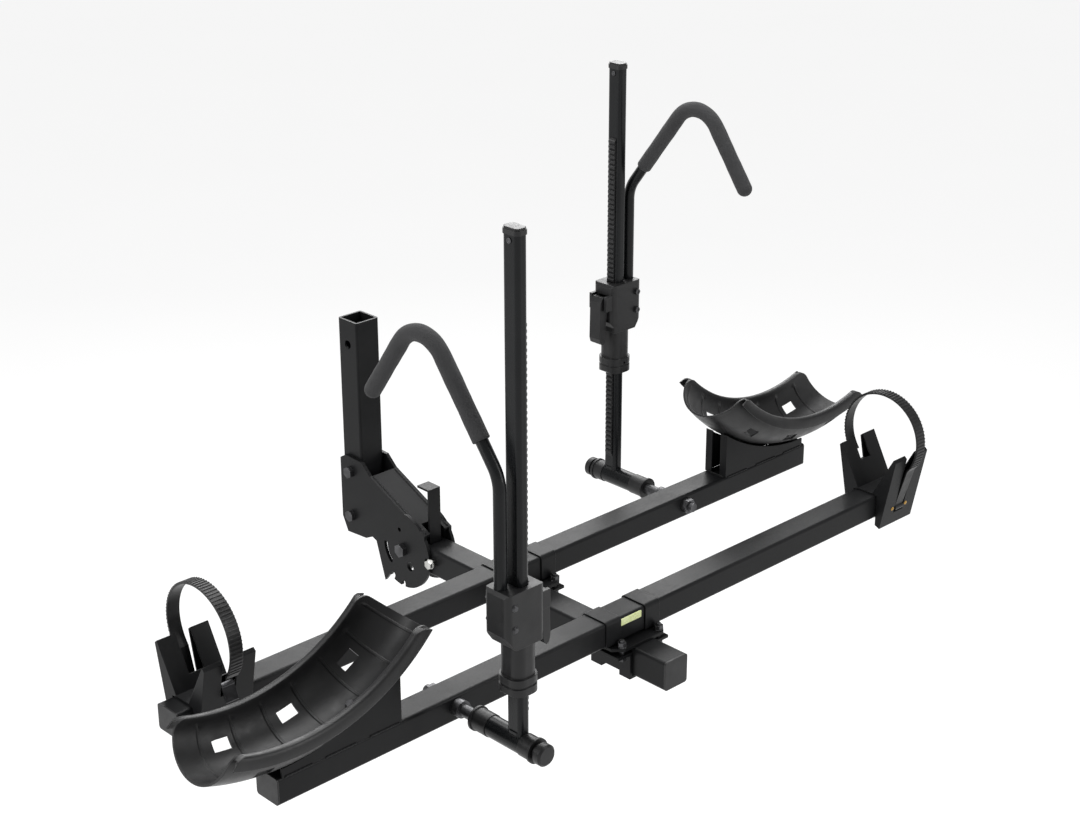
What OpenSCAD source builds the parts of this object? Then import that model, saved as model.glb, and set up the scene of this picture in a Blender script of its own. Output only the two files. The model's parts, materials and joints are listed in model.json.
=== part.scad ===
// Folding two-bike hitch rack: a square shank and a notched fold bracket carry a spine with two
// wheel trays. Each tray has a wheel cradle, a sliding strap holder and a fold-flat mast on which a
// ratchet collar slides with its padded hook. The side nearer the vehicle is called "inner", the
// other "outer". The outer side is the inner side turned half a turn about the vertical.

/* [Hitch shank] */
// Outside width of the square shank
shank_w = 50.8; // [50:0.1:50.8]
// Wall thickness of the shank
shank_wall = 4; // [3:0.5:6]
// Length of the shank
shank_len = 406; // [380:1:420]
// Diameter of the hitch pin hole
pin_hole_d = 16.3; // [13:0.1:17]
// Distance from the shank's open end to the hitch pin hole
pin_hole_inset = 45; // [35:1:70]

/* [Fold bracket] */
// Thickness of the bracket plates
plate_t = 6; // [5:0.5:7]
// Radius of the notched edge about the fold pivot
fold_r = 72; // [70:1:74]
// Diameter of the fold pivot bolt
pivot_bolt_d = 14; // [12:0.5:16]
// Diameter of the latch pin
latch_d = 10; // [8:0.5:10]
// Fold angle of the in-use notch from the storage notch
use_angle = 90; // [85:1:92]
// Fold angle of the tilt-down notch from the storage notch
tilt_angle = 115; // [112:1:118]

/* [Spine] */
// Outside width of the spine tube
spine_w = 50.8; // [50:0.1:50.8]
// Wall thickness of the spine tube
spine_wall = 3; // [2:0.5:4]
// Distance from the tray centre to the spine's capped end
spine_reach = 233; // [200:1:240]

/* [Trays] */
// Width of a tray tube
tray_w = 50; // [46:1:50]
// Height of a tray tube
tray_h = 43; // [40:1:43]
// Distance between the two trays
tray_gap = 241; // [235:1:250]
// Half the length of a tray
tray_half = 710; // [705:1:720]

/* [Wheel cradle] */
// Radius of the cradle's rims about the wheel's axle
rim_r = 304; // [300:1:304]
// Half width of the trough between its rims
trough_half = 62; // [60:1:63]
// Depth of the trough
trough_depth = 60; // [56:1:60]
// Wall thickness of the cradle
cradle_wall = 3.5; // [3:0.5:4]

/* [Masts and hooks] */
// Width of a mast along the tray
mast_w = 20; // [18:1:20]
// Depth of a mast across the tray
mast_d = 30; // [28:1:30]
// Height of a mast's top
mast_top = 846; // [840:1:900]
// Height of the outer hook collar's lower edge
outer_collar_z = 168; // [150:1:200]
// Height of the inner hook collar's lower edge
inner_collar_z = 293; // [250:1:300]
// Diameter of the bare hook rod
rod_d = 19; // [16:1:19]
// Diameter of the foam grip
grip_d = 26; // [24:1:28]

/* [Wheel straps] */
// Width of a wheel strap
strap_w = 22; // [18:1:22]
// Outer radius of the strap's loop
loop_r = 82; // [78:1:83]

/* [Hidden] */
$fn = 64;

BLACK = [0.13, 0.13, 0.14];
DARK = [0.08, 0.08, 0.09];
FOAM = [0.25, 0.25, 0.26];
ZINC = [0.75, 0.75, 0.72];
GREY = [0.35, 0.35, 0.36];

// Heights and places in the rack's own frame: x along the trays, y along the spine, z up from the
// spine's underside, with y = 0 halfway between the trays.
shank_y = 537;
shank_z0 = 15;
pin_z = shank_z0 + shank_len - pin_hole_inset;
pivot_y = 396;
pivot_z = 27;
spine_end_y = 421;
plate_x = 25.7;
tray_y = tray_gap / 2;
top_plate_t = 5;
band_t = 2.2;
tray_z0 = spine_w + top_plate_t + band_t;
tray_top = tray_z0 + tray_h;
tray_wall = 2.5;
gap1_x = -68;
gap2_x = 21;
band_len = 33;
axle_x = 703;
axle_z = 483;
floor_r = rim_r + trough_depth;
mast_x = 381;
mast_r = 7;
mast_y = 278;
stud_z = 82;
latch_seat_r = 66;
latch_rest_r = 77.5;
rack_t = 4;
rod_dx = 28;
rod_dy = -4;
collar_h = 169;
outer_holder_x = 667;
inner_holder_x = 639;
holder_len = 92;
slot_w = 27;
anchor = [39, 72];
loop_z = 200;

// Everything is drawn in the rack's frame and moved so that the hitch pin hole is the origin.
module placed() translate([0, -shank_y, -pin_z]) children();
// s = 1 draws on the inner side, s = -1 on the outer side.
module side(s) placed() rotate([0, 0, s > 0 ? 0 : 180]) children();
// A flat profile in Y and Z, extruded along +X from x0 over a length t.
module yz(x0, t) translate([x0, 0, 0]) rotate([90, 0, 90]) linear_extrude(t) children();
// A flat profile in X and Z, extruded along +Y from y0 over a length t.
module xz(y0, t) translate([0, y0 + t, 0]) rotate([90, 0, 0]) linear_extrude(t) children();
module rounded(w, h, r) {
  square([w - 2 * r, h], center = true);
  square([w, h - 2 * r], center = true);
  for (i = [-1, 1], j = [-1, 1]) translate([i * (w / 2 - r), j * (h / 2 - r)]) circle(r);
}
module hollow(w, h, r, wall) difference() {
  rounded(w, h, r);
  rounded(w - 2 * wall, h - 2 * wall, max(r - wall, 0.6));
}
// A strip of sheet metal, thickness t, between two points of a profile.
module strip(p, q, t) {
  d = q - p;
  translate(p) rotate(atan2(d[1], d[0])) translate([0, -t / 2]) square([norm(d), t]);
  translate(p) circle(t / 2, $fn = 24);
  translate(q) circle(t / 2, $fn = 24);
}
// A wedge of the plane between two angles, used to cut arcs.
module wedge(r, a0, a1) {
  steps = 6;
  polygon(concat([[0, 0]], [for (i = [0:steps]) r * [cos(a0 + (a1 - a0) * i / steps), sin(a0 + (a1 - a0) * i / steps)]]));
}
module arc_band(r0, r1, a0, a1) intersection() {
  difference() {
    circle(r1);
    circle(r0);
  }
  wedge(2 * r1, a0, a1);
}
module hex_head(af, h) cylinder(d = af / cos(30), h = h, $fn = 6);
// A bolt along +Z from z = 0: head below, shank above.
module bolt(d, len, af, head_h) {
  translate([0, 0, -head_h]) hex_head(af, head_h);
  cylinder(d = d, h = len);
}
module nut(d, af, h) difference() {
  hex_head(af, h);
  translate([0, 0, -1]) cylinder(d = d, h = h + 2);
}
module along_x() rotate([0, 90, 0]) children();
module along_y() rotate([-90, 0, 0]) children();

// ---- hitch mount ----
module shank_tube() color(BLACK) placed() difference() {
  translate([0, shank_y, shank_z0]) linear_extrude(shank_len) hollow(shank_w, shank_w, 4, shank_wall);
  translate([-40, shank_y, pin_z]) along_x() cylinder(d = pin_hole_d, h = 80);
  for (z = bracket_bolt_z) translate([-40, pivot_y + 141, pivot_z + z]) along_x() cylinder(d = 12, h = 80);
}
bracket_bolt_z = [19.5, 106];

module plate_outline() {
  polygon([[-61, 47], [86, 114], [108, 134], [153, 136], [168, 127], [168, 11], [154, -17],
    [102, -13], [84, -4], [73, -8], [51, -79], [41, -66], [20, -40], [-60, 0]]);
  circle(fold_r, $fn = 96);
}
module notch(a) rotate(180 + a) {
  translate([latch_seat_r, 0]) circle(latch_d / 2 + 0.3, $fn = 32);
  translate([latch_seat_r, -latch_d / 2 - 0.3]) square([40, latch_d + 0.6]);
}
module side_plate() difference() {
  plate_outline();
  for (a = [0, use_angle, tilt_angle]) notch(a);
  circle(d = pivot_bolt_d, $fn = 48);
  translate([7, 37]) circle(d = 8, $fn = 32);
  translate([-20, -27]) circle(d = 17, $fn = 40);
  arc_band(41.5, 50.5, -45, -2);
  for (a = [-45, -2]) rotate(a) translate([46, 0]) circle(4.2, $fn = 32);
  for (z = bracket_bolt_z) translate([141, z]) circle(d = 12, $fn = 32);
}
module hitch_bracket() color(BLACK) placed() translate([0, pivot_y, pivot_z]) {
  for (x0 = [-plate_x - plate_t, plate_x]) yz(x0, plate_t) side_plate();
  difference() {
    yz(-plate_x - 1, 2 * plate_x + 2) polygon([[85.8, 113.4], [-60.2, 46.8], [-57.7, 41.3], [88, 107.9]]);
    translate([-16.5, -75, 0]) cube([33, 39, 90]);
  }
}
module bracket_bolts() color(GREY) placed() {
  for (z = bracket_bolt_z) translate([-plate_x - plate_t, pivot_y + 141, pivot_z + z])
    along_x() bolt(12, 78, 19, 8);
  translate([-plate_x - plate_t, pivot_y, pivot_z]) along_x() bolt(pivot_bolt_d, 80, 22, 9);
}
module bracket_nuts() color(GREY) placed() {
  for (z = bracket_bolt_z) translate([plate_x + plate_t, pivot_y + 141, pivot_z + z])
    along_x() nut(12, 19, 10);
  translate([plate_x + plate_t, pivot_y, pivot_z]) along_x() nut(pivot_bolt_d, 22, 12);
}

// ---- spine and latch ----
module spine_tube() color(BLACK) placed() {
  difference() {
    translate([0, -spine_reach, spine_w / 2]) along_y()
      linear_extrude(spine_reach + spine_end_y) hollow(spine_w, spine_w, 5, spine_wall);
    translate([-30, pivot_y, pivot_z]) along_x() cylinder(d = 22, h = 60);
    for (s = [-1, 1]) for (y = [latch_seat_r, latch_rest_r + 2])
      translate([s * 24 - 3, pivot_y - y, pivot_z]) along_x() cylinder(d = latch_d + 0.6, h = 6);
    for (x0 = [-27, 21]) translate([x0, pivot_y - latch_rest_r - 2, pivot_z - latch_d / 2 - 0.3])
      cube([6, latch_rest_r + 2 - latch_seat_r, latch_d + 0.6]);
    translate([-14.5, pivot_y - 57.5, spine_w - 6]) cube([29, 21, 8]);
  }
  translate([0, 268, spine_w / 2]) along_y() linear_extrude(4)
    square(spine_w - 2 * spine_wall, center = true);
}
module spine_end_cap() color(DARK) placed() translate([0, -spine_reach, spine_w / 2]) {
  translate([0, -3, 0]) along_y() linear_extrude(3) rounded(spine_w, spine_w, 5);
  along_y() linear_extrude(14) hollow(spine_w - 2 * spine_wall - 0.4, spine_w - 2 * spine_wall - 0.4, 2, 2);
}
module pivot_bush() color(GREY) placed() translate([-spine_w / 2, pivot_y, pivot_z]) along_x() difference() {
  cylinder(d = 22, h = spine_w);
  translate([0, 0, -1]) cylinder(d = pivot_bolt_d + 0.12, h = spine_w + 2);
}
module latch_pin() color(ZINC) placed() translate([0, pivot_y - latch_rest_r, pivot_z]) {
  translate([-38, 0, 0]) along_x() cylinder(d = latch_d, h = 76);
  for (s = [-1, 1]) translate([s * 33.3 - 1, 0, 0]) along_x() cylinder(r = 9, h = 2, $fn = 48);
  for (s = [-1, 1]) translate([s * 37.3 - 3, 0, 0]) along_x() hex_head(15, 6);
}
module latch_handle() color(BLACK) placed() {
  y0 = pivot_y - 54;
  pin_y = pivot_y - latch_rest_r;
  translate([-13, 0, 0]) cube_at([26, 4, 114], [0, y0, 40]);
  translate([-13, 0, 0]) cube_at([26, 31, 4], [0, y0, 150]);
  translate([-13, 0, 0]) cube_at([26, y0 + 4 - pin_y, 4], [0, pin_y, 36]);
  difference() {
    translate([-13, pin_y, pivot_z]) along_x() cylinder(d = 20, h = 26);
    translate([-14, pin_y, pivot_z]) along_x() cylinder(d = latch_d, h = 28);
    translate([-14, pin_y - 12, pivot_z + 9]) cube([28, 24, 6]);
  }
}
module cube_at(size, at) translate(at) cube(size);
// Coil spring: a helix of wire between the stop in the spine and the latch boss.
spring_turns = 6;
spring_sides = 8;
spring_steps = 16;
spring_wire_r = 1.1;
spring_coil_r = 9;
spring_y0 = 273.5;
spring_y1 = 307;
function spring_ring(i) = let (a = 360 * i / spring_steps, n = spring_turns * spring_steps)
  [for (k = [0:spring_sides - 1]) let (b = 360 * k / spring_sides, r = spring_coil_r + spring_wire_r * cos(b))
    [r * cos(a), spring_y0 + (spring_y1 - spring_y0) * i / n + spring_wire_r * sin(b), r * sin(a)]];
module latch_spring() color(ZINC) placed() translate([0, 0, pivot_z]) {
  n = spring_turns * spring_steps;
  m = spring_sides;
  pts = [for (i = [0:n]) each spring_ring(i)];
  skin = [for (i = [0:n - 1], k = [0:m - 1]) [i * m + k, i * m + (k + 1) % m, (i + 1) * m + (k + 1) % m, (i + 1) * m + k]];
  ends = [[for (k = [m - 1:-1:0]) k], [for (k = [0:m - 1]) n * m + k]];
  polyhedron(pts, concat(skin, ends));
}

// ---- tray clamps ----
module top_plate(s) color(BLACK) side(s) translate([0, tray_y, spine_w]) linear_extrude(top_plate_t) difference() {
  polygon([[-60, -30], [-44, -46], [44, -46], [60, -30], [60, 30], [44, 46], [-44, 46], [-60, 30]]);
  for (x = [-42, 42], y = [-36, 36]) translate([x, y]) circle(d = 8.6, $fn = 32);
}
module u_clamp(s) color(BLACK) side(s) translate([0, tray_y, 0]) {
  for (m = [0, 1]) mirror([m, 0, 0]) {
    translate([25.7, -44, 3]) cube([5, 88, 37]);
    difference() {
      translate([25.7, -44, 38]) cube([32, 88, 5]);
      for (y = [-36, 36]) translate([42, y, 30]) cylinder(d = 8.6, h = 20, $fn = 32);
    }
    for (y0 = [-44, 20]) translate([25.7, y0, -5.3]) cube([5, 24, 9]);
  }
  for (y0 = [-44, 20]) translate([-25.8, y0, -5.3]) cube([51.6, 24, 5]);
}
module at_clamp_bolts() for (s = [-1, 1], x = [-42, 42], y = [-36, 36])
  translate([x, s * tray_y + y, 0]) children();
module clamp_bolts() color(GREY) placed() at_clamp_bolts() translate([0, 0, 38]) bolt(8, 30, 13, 6);
module clamp_nuts() color(ZINC) placed() at_clamp_bolts() translate([0, 0, spine_w + top_plate_t]) {
  difference() {
    cylinder(d = 16, h = 1.5, $fn = 40);
    translate([0, 0, -1]) cylinder(d = 8, h = 4, $fn = 32);
  }
  translate([0, 0, 1.5]) nut(8, 13, 7);
}

// ---- trays ----
// A length of tray tube along X from x0 to x1, with a raised band and an inner spigot where joined.
module tray_tube(x0, x1) translate([x0, 0, tray_z0 + tray_h / 2])
  yz(0, x1 - x0) hollow(tray_w, tray_h, 5, tray_wall);
module tray_band(x0) translate([x0, 0, tray_z0 + tray_h / 2])
  yz(0, band_len) hollow(tray_w + 2 * band_t, tray_h + 2 * band_t, 6.5, band_t + 0.4);
module tray_spigot(x0, x1) translate([x0, 0, tray_z0 + tray_h / 2])
  yz(0, x1 - x0) hollow(tray_w - 2 * tray_wall - 0.4, tray_h - 2 * tray_wall - 0.4, 2.4, 2.5);
// The collar ring that ties a spigot to its own tube's inside.
module spigot_seat(x0, x1) translate([x0, 0, tray_z0 + tray_h / 2])
  yz(0, x1 - x0) hollow(tray_w - 2, tray_h - 2, 4, 4);
stud_hole_d = 16;
module stud_hole(x) translate([x, -40, stud_z]) along_y() cylinder(d = stud_hole_d, h = 80);
module left_tube(s) color(BLACK) placed() translate([0, s * tray_y, 0]) difference() {
  union() {
    tray_tube(-tray_half, gap1_x - 1);
    spigot_seat(gap1_x - 21, gap1_x - 1);
    tray_spigot(gap1_x - 21, gap1_x + 40);
  }
  if (s < 0) stud_hole(-mast_x);
  if (s < 0) translate([-703, 0, tray_top - 6]) linear_extrude(12) rounded(22, 9, 4);
}
module centre_sleeve(s) color(BLACK) placed() translate([0, s * tray_y, 0]) {
  tray_tube(gap1_x, gap2_x - 1);
  tray_band(gap1_x);
  spigot_seat(gap2_x - 21, gap2_x - 1);
  tray_spigot(gap2_x - 21, gap2_x + 40);
}
module right_tube(s) color(BLACK) placed() translate([0, s * tray_y, 0]) difference() {
  union() {
    tray_tube(gap2_x, tray_half);
    tray_band(gap2_x);
  }
  if (s > 0) stud_hole(mast_x);
  if (s > 0) translate([703, 0, tray_top - 6]) linear_extrude(12) rounded(22, 9, 4);
}
module tray_end_caps() color(DARK) placed() for (s = [-1, 1], e = [-1, 1])
  translate([0, s * tray_y, tray_z0 + tray_h / 2]) mirror([e < 0 ? 1 : 0, 0, 0]) {
    yz(tray_half, 2.5) rounded(tray_w, tray_h, 5);
    yz(tray_half - 5, 5) hollow(tray_w - 2 * tray_wall - 0.4, tray_h - 2 * tray_wall - 0.4, 2.4, 2);
  }
module reflector() color("greenyellow") placed()
  translate([-11, -tray_y - tray_w / 2, tray_top - 9]) translate([0, -1, 0]) rotate([-90, 0, 0])
  linear_extrude(1) rounded(47, 12, 1.5);

// ---- wheel cradles ----
// The trough's section: x is the distance from the wheel's axle, y is across the trough.
function trough_pt(d, w, a) = [rim_r + d * sin(a), w * cos(a)];
trough_steps = 14;
module trough_section() {
  inner = [for (i = [0:trough_steps]) trough_pt(trough_depth, trough_half, 180 * i / trough_steps)];
  outer = [for (i = [trough_steps:-1:0])
    trough_pt(trough_depth + cradle_wall, trough_half + cradle_wall, 180 * i / trough_steps)];
  lip = [rim_r + 3, rim_r + 17];
  polygon(concat(
    [[rim_r - 2.5, trough_half + 12], [rim_r - 3, trough_half + 1]], inner,
    [[rim_r - 3, -trough_half - 1], [rim_r - 2.5, -trough_half - 12], [lip[1], -trough_half - 15],
      [lip[1], -trough_half - 12], [lip[0], -trough_half - 9.5], [lip[0], -trough_half - cradle_wall]],
    [for (i = [1:trough_steps - 1]) outer[i]],
    [[lip[0], trough_half + cradle_wall], [lip[0], trough_half + 9.5], [lip[1], trough_half + 12],
      [lip[1], trough_half + 15]]));
}
rib_h = 1.8;
module rib_section() polygon(concat(
  [for (i = [1:trough_steps - 1]) trough_pt(trough_depth + 1, trough_half + 1, 180 * i / trough_steps)],
  [for (i = [trough_steps - 1:-1:1]) trough_pt(trough_depth - rib_h, trough_half - rib_h, 180 * i / trough_steps)]));
// Turn a section about the wheel's axle, from t0 over dt degrees, t = 0 straight down.
module about_axle(t0, dt) translate([axle_x, tray_y, axle_z]) rotate([90, 0, 0]) rotate(-90 + t0)
  rotate_extrude(angle = dt, $fn = 180) children();
cradle_t0 = -47;
cradle_t1 = 21;
hole_ts = [-31, -11, 8];
rib_ts = [-44.5, -36, -26, -15.5, -5.5, 4, 14];
// A square opening through a trough wall, s = 1 on the far side and -1 on the near side.
module wall_hole(t, s) translate([axle_x, tray_y, axle_z]) rotate([0, -t, 0])
  translate([0, s * 47, -rim_r - 39]) rotate([s * 50, 0, 0]) cube([28, 22, 50], center = true);
module wheel_cradle(s) color(DARK) side(s) difference() {
  union() {
    about_axle(cradle_t0, cradle_t1 - cradle_t0) trough_section();
    for (t = rib_ts) about_axle(t - 0.25, 0.5) rib_section();
  }
  for (t = hole_ts, w = [-1, 1]) wall_hole(t, w);
  for (t = screw_ts) cradle_axis(t) cylinder(d = 8, h = 30, $fn = 32);
  for (e = [0, 1]) translate([axle_x, tray_y - 100, axle_z]) rotate([0, -[cradle_t0, cradle_t1][e], 0]) mirror([e, 0, 0])
    translate([0, 0, -rim_r]) rotate([90, 0, 180]) linear_extrude(200) corner_cut(20);
}
// What is cut off a square corner to round it, the corner at the origin and the metal at -x, -y.
module corner_cut(r) translate([-r, -r]) difference() {
  square([r + 8, r + 8]);
  circle(r, $fn = 48);
}
screw_ts = [-23, -3];
// The axis of a cradle screw: from 15 above the floor, pointing away from the axle.
module cradle_axis(t) translate([axle_x, tray_y, axle_z]) rotate([0, -t, 0])
  translate([0, 0, -floor_r + 15]) rotate([180, 0, 0]) children();
module cradle_screws() color(GREY) for (s = [-1, 1]) side(s) for (t = screw_ts) cradle_axis(t) {
  translate([0, 0, 10]) cylinder(r1 = 5.5, r2 = 8, h = 4, $fn = 40);
  cylinder_at(8, 13.9, 32.5);
  translate([0, 0, 25.2]) hex_head(13, 6.3);
}
module cylinder_at(d, z0, z1) translate([0, 0, z0]) cylinder(d = d, h = z1 - z0, $fn = 32);
support_x0 = 488;
support_x1 = 704;
module support_profile() difference() {
  translate([support_x0, tray_top]) square([support_x1 - support_x0, 120]);
  translate([axle_x, axle_z]) circle(floor_r + cradle_wall + 0.2, $fn = 180);
}
module cradle_support(s) color(BLACK) side(s) {
  for (y0 = [tray_y - tray_w / 2, tray_y + tray_w / 2 - 3]) xz(y0, 3) support_profile();
  for (y0 = [tray_y - tray_w / 2 + 3, tray_y + tray_w / 2 - 15]) xz(y0, 12) intersection() {
    support_profile();
    translate([support_x0, tray_top]) square([3, 120]);
  }
  difference() {
    intersection() {
      xz(tray_y - 22, 44) support_profile();
      for (t = screw_ts) cradle_axis(t) translate([-13, -30, 15 + cradle_wall + 0.2]) cube([26, 60, 6]);
    }
    for (t = screw_ts) cradle_axis(t) cylinder_at(8, 0, 60);
  }
}

// ---- masts ----
module pivot_stud(s) color(GREY) side(s) translate([mast_x, 0, stud_z]) {
  y0 = tray_y - tray_w / 2;
  y1 = tray_y + tray_w / 2;
  translate([0, y0 - 20, 0]) along_y() cylinder(d = stud_hole_d, h = y1 - y0 + 20);
  translate([0, y1, 0]) along_y() cylinder(d = 28, h = 14);
  translate([0, y1 + 14, 0]) along_y() cylinder(d = 20, h = 319 - y1 - 14);
  translate([0, 319, 0]) along_y() cylinder(d = 12, h = 13);
}
module stud_nuts() color(BLACK) for (s = [-1, 1]) side(s)
  translate([mast_x, tray_y - tray_w / 2, stud_z]) rotate([90, 0, 0]) nut(stud_hole_d, 24, 12);
sleeve_d = 34;
module mast(s) color(BLACK) side(s) translate([mast_x, mast_y, 0]) difference() {
  union() {
    translate([0, 0, stud_z]) linear_extrude(mast_top - stud_z) hollow(mast_w, mast_d, mast_r, 2);
    translate([0, 223 - mast_y, stud_z]) along_y() cylinder(d = sleeve_d, h = 70);
    translate([0, 0, stud_z + 12]) linear_extrude(8) rounded(mast_w + 3, mast_d - 6, 6);
  }
  translate([0, 200 - mast_y, stud_z]) along_y() cylinder(d = 24, h = 120);
}
module mast_cap(s) color(DARK) side(s) translate([mast_x, mast_y, mast_top]) {
  linear_extrude(7) rounded(mast_w + 3, mast_d + 3, mast_r + 1.5);
  translate([0, 0, 7]) linear_extrude(3) rounded(mast_w, mast_d, mast_r);
  translate([0, 0, -16]) linear_extrude(16) hollow(mast_w - 4.4, mast_d - 4.4, mast_r - 2.2, 2);
}
tooth = 9;
rack_z0 = 128;
rack_teeth = 66;
module ratchet_rack(s) color(DARK) side(s) translate([mast_x - mast_w / 2, mast_y, 0]) xz(-7.5, 15)
  polygon(concat([[0, rack_z0 - 3], [0, rack_z0 + rack_teeth * tooth + 3], [-1.5, rack_z0 + rack_teeth * tooth + 3]],
    [for (i = [rack_teeth - 1:-1:0]) each [[-1.5, rack_z0 + (i + 1) * tooth], [-rack_t, rack_z0 + (i + 0.75) * tooth],
      [-rack_t, rack_z0 + (i + 0.35) * tooth]]], [[-1.5, rack_z0], [-1.5, rack_z0 - 3]]));
module pivot_bushes(s) color(DARK) side(s) translate([mast_x, 0, stud_z]) for (y = [[190, 223, 190], [293, 318, 314]])
  difference() {
    union() {
      translate([0, y[0], 0]) along_y() cylinder(d = 36, h = y[1] - y[0]);
      translate([0, y[2], 0]) along_y() cylinder(d = 39.5, h = 4);
    }
    translate([0, y[0] - 1, 0]) along_y() cylinder(d = 20.1, h = 40);
  }
module mast_knob(s) color(DARK) side(s) translate([mast_x, 0, stud_z]) along_y() difference() {
  union() {
    translate([0, 0, 319.5]) cylinder(d = 27, h = 5.5);
    translate([0, 0, 325]) cylinder(d = 34, h = 10);
    translate([0, 0, 335]) cylinder(d1 = 34, d2 = 28, h = 3);
  }
  translate([0, 0, 315]) cylinder(d = 12.1, h = 17.5);
}

// ---- hook collars ----
module at_collar(s) side(s) translate([mast_x, mast_y, s > 0 ? inner_collar_z : outer_collar_z]) children();
function boxed(x0, x1) = (x0 + x1) / 2;
module block(x0, x1, w, r, z0, z1) translate([boxed(x0, x1), 0, z0]) linear_extrude(z1 - z0) rounded(x1 - x0, w, r);
lever_pin = [-37, 138];
collar_outline = [[-23, 0], [23, 0], [26, 3], [26, 80], [42, 103], [42, 164], [38, 169], [-27, 169], [-31, 164],
  [-31, 100], [-26, 90], [-26, 3]];
module hook_collar(s) color(DARK) at_collar(s) difference() {
  union() {
    intersection() {
      union() {
        block(-25, 25, 50, 19, 0, 12);
        block(-23.5, 23.5, 47, 18, 12, 16);
        block(-25, 25, 50, 19, 16, 27);
        block(-21, 21, 45, 16, 27, 101);
        block(-31, 42, 50, 10, 80, 169);
      }
      xz(-30, 60) polygon(collar_outline);
    }
    for (y0 = [-21, 15]) translate([-44, y0, 124]) cube([16, 6, 28]);
    along_lever_pin(-21, 42, 6);
  }
  translate([0, 0, -1]) linear_extrude(171) rounded(mast_w + 0.9, mast_d + 0.9, mast_r + 0.45);
  translate([-15, -9, -1]) cube([10, 18, 171]);
  translate([-32, -9.5, 120]) cube([20, 19, 30]);
  translate([rod_dx, rod_dy, 107]) cylinder(d = rod_d + 0.1, h = 70);
  for (z = [114, 148]) translate([rod_dx, -30, z]) along_y() cylinder(d = 6, h = 60, $fn = 32);
  translate([0, -30, 18]) along_y() cylinder(d = 5, h = 12, $fn = 32);
}
module along_lever_pin(y0, len, d) translate([lever_pin[0], y0, lever_pin[1]]) along_y() cylinder(d = d, h = len, $fn = 32);
module collar_screws(s) color(ZINC) at_collar(s) {
  for (z = [114, 148]) {
    translate([rod_dx, 25, z]) along_y() cylinder(d1 = 11, d2 = 7, h = 3, $fn = 32);
    translate([rod_dx, -25, z]) rotate([90, 0, 0]) nut(6, 10, 5);
    translate([rod_dx, -29, z]) along_y() cylinder(d = 6, h = 54, $fn = 32);
  }
}
// The release lever with its pawl, which stands just clear of the rack's teeth.
module release_lever(s) color(DARK) at_collar(s) difference() {
  union() {
    xz(-13, 26) {
      polygon([[-38, 149], [-44, 149], [-50, 141], [-51.5, 72], [-49, 63], [-44, 60], [-39, 64],
        [-37, 74], [-36, 104], [-34, 112], [-33.5, 141]]);
    }
    xz(-8, 16) polygon([[-38, 128], [-38, 140], [-24, 141], [-14.5, 139], [-14.5, 134]]);
  }
  along_lever_pin(-30, 60, 6.12);
  xz(-10, 20) polygon([[-30, 108], [-46, 124], [-47.5, 76], [-42.5, 68], [-30, 80]]);
}

// A bent rod: each step is a straight length, a bend radius and a bend angle. It starts at the
// origin towards +Z and bends towards +X. The bends are drawn a hair thinner than the straights.
module bent_rod(d, steps, i = 0) {
  run = steps[i][0];
  r = steps[i][1];
  a = steps[i][2];
  lap0 = i > 0 ? 0.6 : 0;
  lap1 = a > 0 ? 0.6 : 0;
  translate([0, 0, -lap0]) cylinder(d = d, h = run + lap0 + lap1);
  if (a > 0) translate([r, 0, run]) rotate([90, 0, 180]) rotate_extrude(angle = a) translate([r, 0]) circle(d = d - 0.1);
  if (i + 1 < len(steps)) translate([r * (1 - cos(a)), 0, run + r * sin(a)]) rotate([0, a, 0]) bent_rod(d, steps, i + 1);
}
hook_bend = [60, 37.4];
hook_crown = [54, 106.9];
hook_rise = 208;
hook_arm = 165;
hook_tip = 119;
bare_arm = 37;
module at_rod(s) at_collar(s) translate([rod_dx, rod_dy, 107]) rotate([0, 0, -90]) children();
module hook_rod(s) color(GREY) at_rod(s) difference() {
  bent_rod(rod_d, [[hook_rise, hook_bend[0], hook_bend[1]], [hook_arm, hook_crown[0], hook_crown[1]],
    [hook_tip - 6, 0, 0]]);
  for (z = [7, 41]) translate([-20, 0, z]) along_x() cylinder(d = 6, h = 40, $fn = 32);
}
// Moves to where the foam starts on the arm.
module at_grip() translate([hook_bend[0] * (1 - cos(hook_bend[1])), 0, hook_rise + hook_bend[0] * sin(hook_bend[1])])
  rotate([0, hook_bend[1], 0]) translate([0, 0, bare_arm]) children();
module foam_grip(s) color(FOAM) at_rod(s) at_grip() difference() {
  union() {
    bent_rod(grip_d, [[hook_arm - bare_arm, hook_crown[0], hook_crown[1]], [hook_tip - 6, 0, 0]]);
    grip_tip() sphere(d = grip_d);
  }
  translate([0, 0, -1]) bent_rod(rod_d + 0.22, [[hook_arm - bare_arm + 1, hook_crown[0], hook_crown[1]], [hook_tip - 6, 0, 0]]);
}
module grip_tip() translate([hook_crown[0] * (1 - cos(hook_crown[1])), 0, hook_arm - bare_arm + hook_crown[0] * sin(hook_crown[1])])
  rotate([0, hook_crown[1], 0]) translate([0, 0, hook_tip - 6]) children();

// ---- strap holders ----
module at_holder(s) side(s) translate([s > 0 ? -inner_holder_x : -outer_holder_x, tray_y, 0]) children();
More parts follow.
